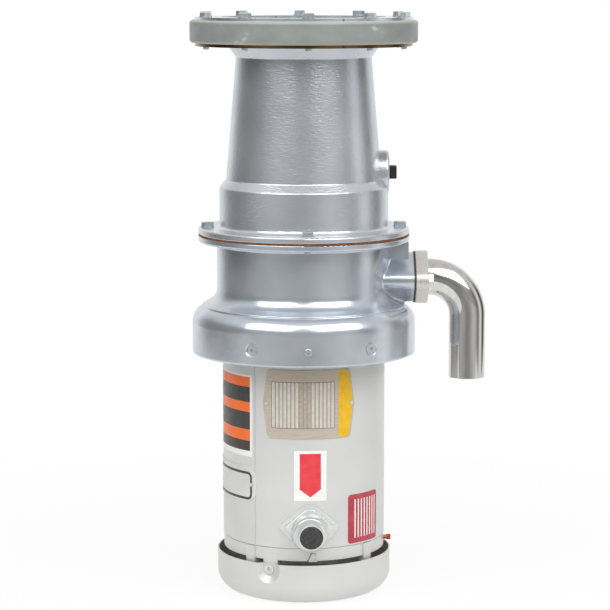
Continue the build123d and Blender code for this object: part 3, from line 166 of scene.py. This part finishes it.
materials = {
    # Aluminium-flake enamel on the sand-cast cone: soft metal reflections over a hammered skin.
    "cone_enamel": finish("silver_enamel_hammered", two("#c4c9ce", "#d0d4d9"), mottle=40, metallic=0.72,
                          roughness=0.25, spread=0.02, bump=1.7, bump_depth=0.25, bump_stretch=(3.2, 3.2, 1)),
    # The same enamel on the smoother lower castings: clearer, bluer reflections.
    "body_enamel": finish("silver_enamel_smooth", two("#bfc6ce", "#ccd2d9"), mottle=34, metallic=0.7,
                          roughness=0.21, spread=0.03, bump=6.0, bump_depth=0.05, detail=1.0),
    # Silver-grey enamel sprayed on rolled steel: pale, half gloss, with a little flake and orange peel.
    "shell_paint": finish("silver_grey_enamel_on_steel", two("#d1d1cf", "#d7d7d5"), mottle=60, metallic=0.2,
                          roughness=0.33, spread=0.05, bump=1.6, bump_depth=0.012, IOR=1.5),
    # Thin enamel over bright zinc on the pressed reset cover: it keeps some of the metal's shine.
    "thin_paint": finish("thin_enamel_on_zinc", two("#d3d5d5", "#dedfde"), mottle=25, metallic=0.5,
                         roughness=0.20, spread=0.05, bump=3.0, bump_depth=0.01, IOR=1.5),
    # Moulded grey-green rubber: even and dull, scuffed here and there, with a painted highlight lightening
    # its top and bottom edges.
    "ring_rubber": finish("grey_rubber_moulded",
                          [(0.30, "#828885"), (0.50, "#8a908d"), (0.64, "#8f9592"), (0.74, "#b9beba")],
                          mottle=22, metallic=0.0, roughness=0.45, stretch=(1, 1, 0.7), bump=1.2,
                          bump_depth=0.02, detail=5.0, rims=(rubber_foot, rubber_head, 3.0, "#b7b5aa"),
                          IOR=1.52),
    # Black moulded rubber and phenolic: near black, fine grain.
    "black_rubber": finish("black_rubber_moulded", two("#242425", "#434242"), mottle=2, metallic=0.0,
                           roughness=0.55, bump=0.9, bump_depth=0.04, IOR=1.52),
    # Dark oxide on the iron pipe plug: brown-black and dull.
    "dark_plug": finish("black_iron_plug", two("#150f0d", "#2b211d"), mottle=4, metallic=0.0,
                        roughness=0.5, bump=1.0, bump_depth=0.05, IOR=1.5),
    # Clear chromate on zinc plate: bluish white and bright, with a faint bloom.
    "clear_zinc": finish("clear_zinc_plate", two("#c4ced5", "#d3dce1"), mottle=20, metallic=0.75,
                         roughness=0.19, spread=0.06, bump=2.0, bump_depth=0.006),
    # Yellow chromate on zinc: dark straw metal with rose clouds and brighter golden patches.
    "yellow_zinc": finish("yellow_zinc_plate",
                          [(0.36, "#6b5431"), (0.50, "#8a6b41"), (0.58, "#84604a"), (0.68, "#dcb95c")],
                          mottle=45, metallic=1.0, roughness=0.20, spread=0.05, bump=0.8, bump_depth=0.01,
                          detail=2.0),
    # Pressed fibre sheet gasket: brown-orange and dull.
    "gasket_fibre": finish("pressed_fibre_sheet", two("#5e3419", "#8f5629"), mottle=3, metallic=0.0,
                           roughness=0.85, bump=0.8, bump_depth=0.05, IOR=1.45),
    # Brushed stainless plate: warm grey with straight scratches.
    "brushed_stainless": finish("brushed_stainless", two("#c9c4bd", "#dfdbd5"), mottle=1.2, metallic=0.6,
                                roughness=0.38, stretch=(1, 1, 14), bump=0.7, bump_depth=0.015,
                                bump_stretch=(1, 1, 16)),
    # Polished chrome plate on the bent tube: mirror bright with faint draw lines.
    "tube_chrome": finish("polished_chrome_tube", two("#cccac6", "#dfddd9"), mottle=5, metallic=1.0,
                          roughness=0.10, spread=0.03, stretch=(1, 1, 12), bump=2.0, bump_depth=0.006,
                          bump_stretch=(1, 1, 10)),
    # Lacquered brushed aluminium of the rating plate: beige, with fine level scratches.
    "plate_metal": finish("brushed_aluminium_plate", two("#bdb1a2", "#ccc0b1"), mottle=1.0, metallic=0.25,
                          roughness=0.40, stretch=(20, 20, 1), bump=0.7, bump_depth=0.008,
                          bump_stretch=(20, 20, 1)),
    # Clear-coated grey film of the side badge: the shell's tone, a little glossier.
    "badge_film": finish("grey_coated_film", two("#cfcfcc", "#d8d8d5"), mottle=30, metallic=0.0,
                         roughness=0.32, spread=0.04, bump=4.0, bump_depth=0.02, IOR=1.5),
    # Vinyl of the stickers: flat colours under a soft sheen.
    "white_vinyl": film("white_vinyl", two("#ececea", "#f4f4f2"), mottle=12, roughness=0.38),
    "wine_vinyl": film("wine_red_vinyl", two("#ae3644", "#bd4552"), mottle=9, roughness=0.40),
    # Screen inks on the stickers and plates: opaque, a little uneven.
    "orange_ink": film("orange_ink", two("#ee6a1e", "#f4752a"), mottle=10, roughness=0.36),
    "dark_ink": film("charcoal_ink", two("#363433", "#413e3d"), mottle=8, roughness=0.38),
    "arrow_ink": film("bright_red_ink", two("#de3640", "#e8424b"), mottle=8, roughness=0.36),
    "yellow_ink": film("yellow_ink", two("#e3b00c", "#f0c014"), mottle=8, roughness=0.37),
    "line_ink": film("brown_line_ink", two("#5c5047", "#74675c"), mottle=4, roughness=0.5, bump=2.0),
    # Thin inks on the rating plate: the metal shows through a little.
    "pale_ink": film("pale_grey_ink", two("#cfc8be", "#dad4ca"), mottle=5, roughness=0.42, metallic=0.2,
                     bump=2.0),
    "dull_ink": film("dull_brown_ink", two("#b4a999", "#c2b8a9"), mottle=3, roughness=0.45, metallic=0.2,
                     bump=2.0),
    # Soft vinyl cap on the grease fitting: clear red, a little glossy.
    "red_cap": finish("red_vinyl_cap", two("#b3242b", "#d5333a"), mottle=2, metallic=0.0, roughness=0.37,
                      bump=0.8, bump_depth=0.01, IOR=1.53),
    # Turned brass: warm yellow with fine tool marks.
    "brass": finish("turned_brass", two("#a8823c", "#c9a45a"), mottle=3, metallic=1.0, roughness=0.36,
                    bump=0.6, bump_depth=0.01),
    # Chilled cast iron of the grinding parts: grey, sandy skin.
    "chilled_iron": finish("chilled_cast_iron", two("#6c6c6a", "#8d8d8b"), mottle=5, metallic=1.0,
                           roughness=0.48, bump=1.2, bump_depth=0.08),
    # Ground shaft steel: bright with level grinding lines.
    "ground_steel": finish("ground_steel", two("#a3a4a6", "#b9babb"), mottle=2, metallic=1.0,
                           roughness=0.19, stretch=(1, 1, 0.2), bump=0.5, bump_depth=0.005,
                           bump_stretch=(6, 6, 1)),
    # Polished bearing steel: clear, cold reflections.
    "polished_steel": finish("polished_bearing_steel", two("#b5b6b9", "#c8c9cb"), mottle=3, metallic=1.0,
                             roughness=0.16, bump=0.6, bump_depth=0.004),
    # Stacked sheets: thin level lines, drawn coarser than the real half millimetre.
    "laminations": finish("stacked_lamination_steel", two("#5e6064", "#84868a"), mottle=0.9, metallic=1.0,
                          roughness=0.42, stretch=(60, 60, 1), bump=0.9, bump_depth=0.05,
                          bump_stretch=(60, 60, 1)),
    # Varnished copper wire, wound level round the slots: brown-red lines with a soft shine.
    "copper": finish("varnished_copper_wire", two("#7f4222", "#b3683a"), mottle=1.4, metallic=0.9,
                     roughness=0.37, stretch=(14, 14, 1), bump=1.4, bump_depth=0.2, bump_stretch=(14, 14, 1)),
    # Lapped ceramic seal face: smooth and off-white.
    "ceramic": finish("lapped_ceramic", two("#dad5c9", "#e6e2d8"), mottle=6, metallic=0.0, roughness=0.18,
                      bump=0.8, bump_depth=0.004, IOR=1.7),
    # Lapped carbon seal face: dull black.
    "carbon": finish("lapped_carbon", two("#2a2a2c", "#3a3a3c"), mottle=2, metallic=0.0, roughness=0.4,
                     bump=0.5, bump_depth=0.01, IOR=1.6),
}

finishes = {
    "cone_enamel": ["upper_housing"],
    "body_enamel": ["lower_housing", "motor_upper_bracket", "rotor_end_rings"],
    "shell_paint": ["motor_shell", "bottom_cover", "cover_screws", "lower_bracket"],
    "thin_paint": ["reset_cover", "reset_rivets"],
    "ring_rubber": ["isolation_ring"],
    "black_rubber": ["drain_gasket", "seal_bellows", "reset_button", "overload_protector",
                     "terminal_board", "slinger"],
    "dark_plug": ["inlet_plug"],
    "clear_zinc": ["upper_clamp_ring", "clamp_bolts", "housing_bolts", "through_bolts",
                   "motor_mount_screws", "skirt_screw", "skirt_plugs", "drain_bolts", "plate_pins"],
    "yellow_zinc": ["lower_clamp_ring"],
    "gasket_fibre": ["housing_gasket"],
    "brushed_stainless": ["drain_flange", "seal_spring", "turntable_washer", "turntable_nut", "lug_screws"],
    "tube_chrome": ["drain_elbow"],
    "plate_metal": ["nameplate"],
    "badge_film": ["badge_plate"],
    "red_cap": ["grease_cap"],
    "brass": ["grease_fitting", "terminal_screws", "upper_bearing_cage", "lower_bearing_cage"],
    "chilled_iron": ["turntable", "cutter_lugs", "shredder_ring"],
    "ground_steel": ["motor_shaft", "turntable_key", "preload_washer"],
    "polished_steel": ["upper_bearing_outer_race", "upper_bearing_inner_race", "upper_bearing_balls",
                       "lower_bearing_outer_race", "lower_bearing_inner_race", "lower_bearing_balls"],
    "laminations": ["stator_core", "rotor_core"],
    "copper": ["stator_winding"],
    "ceramic": ["seal_seat"],
    "carbon": ["seal_face"],
}
for key, names in finishes.items():
    for name in names:
        nodes[name].data.materials.clear()
        nodes[name].data.materials.append(materials[key])


def box(left, right, foot, head):
    """Outline of a rectangle, from azimuths and heights."""
    return [(left, foot), (right, foot), (right, head), (left, head)]


def rounded(left, right, foot, head, corner, radius):
    """Outline of a rectangle with round corners, on a cylinder of a radius."""
    steps = 6
    bend = math.degrees(corner / radius)
    points = []
    for turn, azimuth, height in ((0, right - bend, head - corner), (90, left + bend, head - corner),
                                  (180, left + bend, foot + corner), (270, right - bend, foot + corner)):
        for step in range(steps + 1):
            angle = math.radians(turn + 90 * step / steps)
            points.append((azimuth + bend * math.cos(angle), height + corner * math.sin(angle)))
    return points


def border(left, right, foot, head, corner, width, radius):
    """Four-sided outlines that together make a border of a width with round corners."""
    bend = math.degrees(width / radius)
    outer = rounded(left, right, foot, head, corner, radius)
    inner = rounded(left + bend, right - bend, foot + width, head - width, corner - width, radius)
    count = len(outer)
    return [[outer[at], outer[(at + 1) % count], inner[(at + 1) % count], inner[at]] for at in range(count)]


def wrap(name, outlines, material, radius, lift=STICKER_LIFT, thickness=STICKER_THICKNESS):
    """Thin closed sheet rolled round the main axis from flat outlines of (azimuth, height)."""
    strip = 2.5
    same_point = 0.001
    sheet = bmesh.new()
    for outline in outlines:
        sheet.faces.new([sheet.verts.new((math.radians(azimuth) * radius, height, lift))
                         for azimuth, height in outline])
    bmesh.ops.remove_doubles(sheet, verts=sheet.verts[:], dist=same_point)
    left = min(vertex.co.x for vertex in sheet.verts)
    right = max(vertex.co.x for vertex in sheet.verts)
    # Upright cuts, close enough together for the sheet to follow the curve.
    for number in range(1, math.ceil((right - left) / strip)):
        bmesh.ops.bisect_plane(sheet, geom=sheet.verts[:] + sheet.edges[:] + sheet.faces[:],
                               plane_co=(left + number * strip, 0, 0), plane_no=(1, 0, 0))
    raised = bmesh.ops.extrude_face_region(sheet, geom=sheet.faces[:])["geom"]
    for item in raised:
        if isinstance(item, bmesh.types.BMVert):
            item.co.z += thickness
    bmesh.ops.recalc_face_normals(sheet, faces=sheet.faces[:])
    for vertex in sheet.verts:
        angle = vertex.co.x / radius
        away = (radius + vertex.co.z) * MM
        vertex.co = (away * math.sin(angle), -away * math.cos(angle), vertex.co.y * MM)
    mesh = bpy.data.meshes.new(name)
    sheet.to_mesh(mesh)
    sheet.free()
    mesh.materials.append(materials[material])
    piece = bpy.data.objects.new(name, mesh)
    bpy.context.scene.collection.objects.link(piece)
    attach(piece, "housing")


def add_side_sticker():
    """Blank sticker on the left of the shell: dark and orange bands inside a white edge."""
    left, right, foot, head = -92.0, -38.6, 152.0, 237.0
    edge_width = 3.0
    edge = math.degrees(edge_width / SHELL)
    changes = [157.9, 168.4, 180.3, 198.6, 208.9, 224.6, 235.0]
    bands = [box(left + edge, right - edge, low, high) for low, high in zip(changes, changes[1:])]
    wrap("side_sticker", [box(left, right, foot, head)], "white_vinyl", SHELL)
    wrap("side_sticker_orange", bands[1::2], "orange_ink", SHELL, lift=PRINT_LIFT)
    wrap("side_sticker_dark", bands[0::2], "dark_ink", SHELL, lift=PRINT_LIFT)


def add_arrow_sticker():
    """White sticker with a plain arrow down to the reset button."""
    left, right, foot, head = -6.75, 15.9, 109.8, 162.0
    shaft_left, shaft_right, shaft_head = -2.8, 11.9, 159.0
    barb, neck, tip = 0.9, 122.8, 113.5
    middle = (shaft_left + shaft_right) / 2
    shaft = box(shaft_left, shaft_right, neck, shaft_head)
    point = [(middle, tip), (shaft_right + barb, neck), (shaft_left - barb, neck)]
    wrap("arrow_sticker", [box(left, right, foot, head)], "white_vinyl", SHELL)
    wrap("arrow_sticker_arrow", [shaft, point], "arrow_ink", SHELL, lift=PRINT_LIFT)


def add_red_sticker():
    """Blank red sticker at the drain-side foot of the shell, with plain upright rules."""
    left, right, foot, head = 32.4, 62.3, 61.5, 113.0
    corner, margin = 3.2, 5.5
    first, last, width = left + 5.6, right - 3.4, 1.1
    count = 8
    starts = [first + (last - first) * number / (count - 1) for number in range(count)]
    rules = [box(start, start + width, foot + margin, head - margin) for start in starts]
    wrap("red_sticker", [rounded(left, right, foot, head, corner, SHELL)], "wine_vinyl", SHELL)
    wrap("red_sticker_rules", rules, "white_vinyl", SHELL, lift=PRINT_LIFT, thickness=PRINT_THICKNESS)


def add_rating_table():
    """Ruled blank table on the rating plate: pale columns, three of them duller, between thin rules."""
    left, right, foot, head = -22.6, 21.6, 185.6, 232.6
    count = 16
    dull = (7, 8, 9)
    fill = 0.8
    rule_width, rule_height = 0.45, 0.6
    rule = math.degrees(rule_width / PLATE)
    pitch = (right - left) / count
    starts = [left + pitch * number for number in range(count + 1)]
    columns = [box(start + rule, start + fill * pitch, foot, head) for start in starts[:-1]]
    rules = [box(start - rule / 2, start + rule / 2, foot, head) for start in starts]
    rules += [box(left, right, low, low + rule_height) for low in (head, foot - rule_height)]
    pale = [column for number, column in enumerate(columns) if number not in dull]
    wrap("rating_table_columns", pale, "pale_ink", PLATE, thickness=TINT_THICKNESS)
    wrap("rating_table_dull_columns", [columns[number] for number in dull], "dull_ink", PLATE,
         thickness=TINT_THICKNESS)
    wrap("rating_table_rules", rules, "line_ink", PLATE, thickness=PRINT_THICKNESS)


def add_rating_band():
    """Plain yellow band on the rating plate's drain-side end, which comes to a blunt point."""
    left, side, point = 24.7, 32.9, 36.0
    margin = 0.8
    foot, head = heights("nameplate")
    middle = (head + foot) / 2
    half = (head - foot) / 2 - margin
    upper = [(left, half), (side - 2.6, half), (side - 1.2, half - 0.8), (side - 0.2, half - 2.6)]
    lower = [(azimuth, -rise) for azimuth, rise in reversed(upper)]
    outline = [(azimuth, middle + rise) for azimuth, rise in reversed(upper + [(point, 0.0)] + lower)]
    wrap("rating_band", [outline], "yellow_ink", PLATE, thickness=TINT_THICKNESS)


def add_badge_border():
    """Plain dark border on the side badge."""
    left, right, foot, head = -126.0, -38.6, 106.5, 136.0
    corner, width = 6.0, 2.6
    wrap("badge_border", border(left, right, foot, head, corner, width, BADGE), "dark_ink", BADGE,
         thickness=PRINT_THICKNESS)


def set_camera():
    """Long lens at the photograph's place: a little above the part, tipped down to its middle."""
    side, distance, height = 0.00126, 2.450, 0.640
    aim_height = 0.301
    camera = bpy.data.cameras.new("camera")
    camera.sensor_width = 36.0
    camera.lens = 139.04
    holder = bpy.data.objects.new("camera", camera)
    holder.location = (side, -distance, height)
    tip = math.atan2(height - aim_height, distance)
    holder.rotation_euler = (math.pi / 2 - tip, 0.0, 0.0)
    bpy.context.scene.collection.objects.link(holder)
    bpy.context.scene.camera = holder


def set_world():
    """White backdrop with a greyer camera side, as a table-top studio gives polished metal."""
    # Bearing from the camera side, and how bright the room is there.
    backdrop_left = [(-180, 1.0), (-146, 1.0), (-135, 0.6)]
    dark_left = [(-122, 0.20), (-104, 0.06), (-88, 0.08), (-70, 0.22)]
    camera_side = [(-55, 0.38), (-40, 0.48), (-24, 0.40), (-8, 0.31), (8, 0.31), (24, 0.46), (40, 0.62),
                   (56, 0.50), (68, 0.25)]
    white_card = [(76, 0.32), (83, 0.75), (91, 0.95), (98, 0.70), (105, 0.25)]
    dark_right = [(112, 0.10), (121, 0.12)]
    backdrop_right = [(129, 0.50), (138, 0.95), (180, 1.0)]
    room = backdrop_left + dark_left + camera_side + white_card + dark_right + backdrop_right
    # Above the table's edge the camera side is dimmer, so the lamps and what they miss show more.
    dim, dim_left, dim_right = 0.72, -80, 70
    above = [(bearing, level * dim if dim_left < bearing < dim_right else level) for bearing, level in room]
    # Rises of a ray over which the room changes to its dimmer part, and that to the ceiling.
    above_from, above_full = 0.0, 0.07
    ceiling_from, ceiling_full = 0.30, 0.62
    ceiling, fill, white = 0.72, 0.38, 1.0

    world = bpy.data.worlds.new("studio")
    bpy.context.scene.world = world
    world.use_nodes = True
    tree = world.node_tree
    tree.nodes.clear()
    place = add(tree, "TexCoord").outputs["Generated"]
    axes = add(tree, "SeparateXYZ", {"Vector": place}).outputs
    front = add(tree, "Math", {0: axes["Y"], 1: -1.0}, operation="MULTIPLY")
    angle = add(tree, "Math", {0: axes["X"], 1: front.outputs[0]}, operation="ARCTAN2")
    turn = add(tree, "MapRange", {"Value": angle.outputs[0], "From Min": -math.pi, "From Max": math.pi})
    low, high = [add(tree, "ValToRGB", {"Fac": turn.outputs["Result"]},
                     stops=[((bearing + 180) / 360, grey(level)) for bearing, level in levels])
                 for levels in (room, above)]
    edge = add(tree, "MapRange", {"Value": axes["Z"], "From Min": above_from, "From Max": above_full})
    ring = add(tree, "Mix", {FACTOR: edge.outputs["Result"], FIRST: low.outputs["Color"],
                             SECOND: high.outputs["Color"]}, data_type="RGBA")
    rise = add(tree, "MapRange", {"Value": axes["Z"], "From Min": ceiling_from, "From Max": ceiling_full})
    mirrored = add(tree, "Mix", {FACTOR: rise.outputs["Result"], FIRST: ring.outputs[MIXED],
                                 SECOND: grey(ceiling)}, data_type="RGBA")
    # Metal mirrors the room, dull surfaces get an even fill, and the camera sees white.
    rays = add(tree, "LightPath").outputs
    lit = add(tree, "Mix", {FACTOR: rays["Is Glossy Ray"], FIRST: grey(fill),
                            SECOND: mirrored.outputs[MIXED]}, data_type="RGBA")
    direct = add(tree, "Math", {0: rays["Is Camera Ray"], 1: rays["Is Transmission Ray"]},
                 operation="MAXIMUM")
    shown = add(tree, "Mix", {FACTOR: direct.outputs[0], FIRST: lit.outputs[MIXED], SECOND: grey(white)},
                data_type="RGBA")
    back = add(tree, "Background", {"Color": shown.outputs[MIXED], "Strength": 1.0})
    add(tree, "OutputWorld", {"Surface": back.outputs[0]})


def set_floor():
    """Plain white table top that keeps a soft shadow."""
    half_width, near, far = 1.5, 0.85, 3.0
    corners = [(-half_width, -near, 0), (half_width, -near, 0), (half_width, far, 0), (-half_width, far, 0)]
    mesh = bpy.data.meshes.new("floor")
    mesh.from_pydata(corners, [], [(0, 1, 2, 3)])
    floor = bpy.data.objects.new("floor", mesh)
    bpy.context.scene.collection.objects.link(floor)
    material = bpy.data.materials.new("white_table")
    material.use_nodes = True
    tree = material.node_tree
    tree.nodes.clear()
    rays = add(tree, "LightPath").outputs
    some = add(tree, "Math", {0: rays["Is Camera Ray"], 1: rays["Is Glossy Ray"]}, operation="MAXIMUM")
    direct = add(tree, "Math", {0: some.outputs[0], 1: rays["Is Transmission Ray"]}, operation="MAXIMUM")
    # Round the part the table takes some of its shadow; further out it is plain white.
    shadow_near, shadow_far, shadow_white = 0.15, 0.80, 0.90
    away = add(tree, "VectorMath", {0: add(tree, "TexCoord").outputs["Object"]}, operation="LENGTH")
    white = add(tree, "MapRange", {"Value": away.outputs["Value"], "From Min": shadow_near,
                                   "From Max": shadow_far, "To Min": shadow_white, "To Max": 1.0})
    share = add(tree, "Math", {0: direct.outputs[0], 1: white.outputs["Result"]}, operation="MULTIPLY")
    matt = add(tree, "BsdfDiffuse", {"Color": linear("#fafaf8")})
    glow = add(tree, "Emission", {"Color": grey(1.0), "Strength": 1.0})
    both = add(tree, "MixShader", {0: share.outputs[0], 1: matt.outputs[0], 2: glow.outputs[0]})
    add(tree, "OutputMaterial", {"Surface": both.outputs[0]})
    mesh.materials.append(material)


def add_lamp(name, bearing, power):
    """Soft box at a bearing from the camera side, aimed down at the part's middle."""
    rise, distance = 42, 2.4
    width, height = 2.1, 1.6
    middle = Vector((0, 0, 0.32))
    lamp = bpy.data.lights.new(name, "AREA")
    lamp.shape = "RECTANGLE"
    lamp.size = width
    lamp.size_y = height
    lamp.energy = power
    holder = bpy.data.objects.new(name, lamp)
    turn = math.radians(bearing)
    tilt = math.radians(rise)
    outward = Vector((math.sin(turn) * math.cos(tilt), -math.cos(turn) * math.cos(tilt), math.sin(tilt)))
    holder.location = middle + distance * outward
    holder.rotation_euler = outward.to_track_quat("Z", "Y").to_euler()
    bpy.context.scene.collection.objects.link(holder)


add_side_sticker()
add_arrow_sticker()
add_red_sticker()
add_rating_table()
add_rating_band()
add_badge_border()
set_camera()
set_world()
set_floor()
add_lamp("soft_box_left", bearing=-39, power=30)
add_lamp("soft_box_right", bearing=39, power=35)

bpy.context.scene.view_settings.view_transform = "Standard"
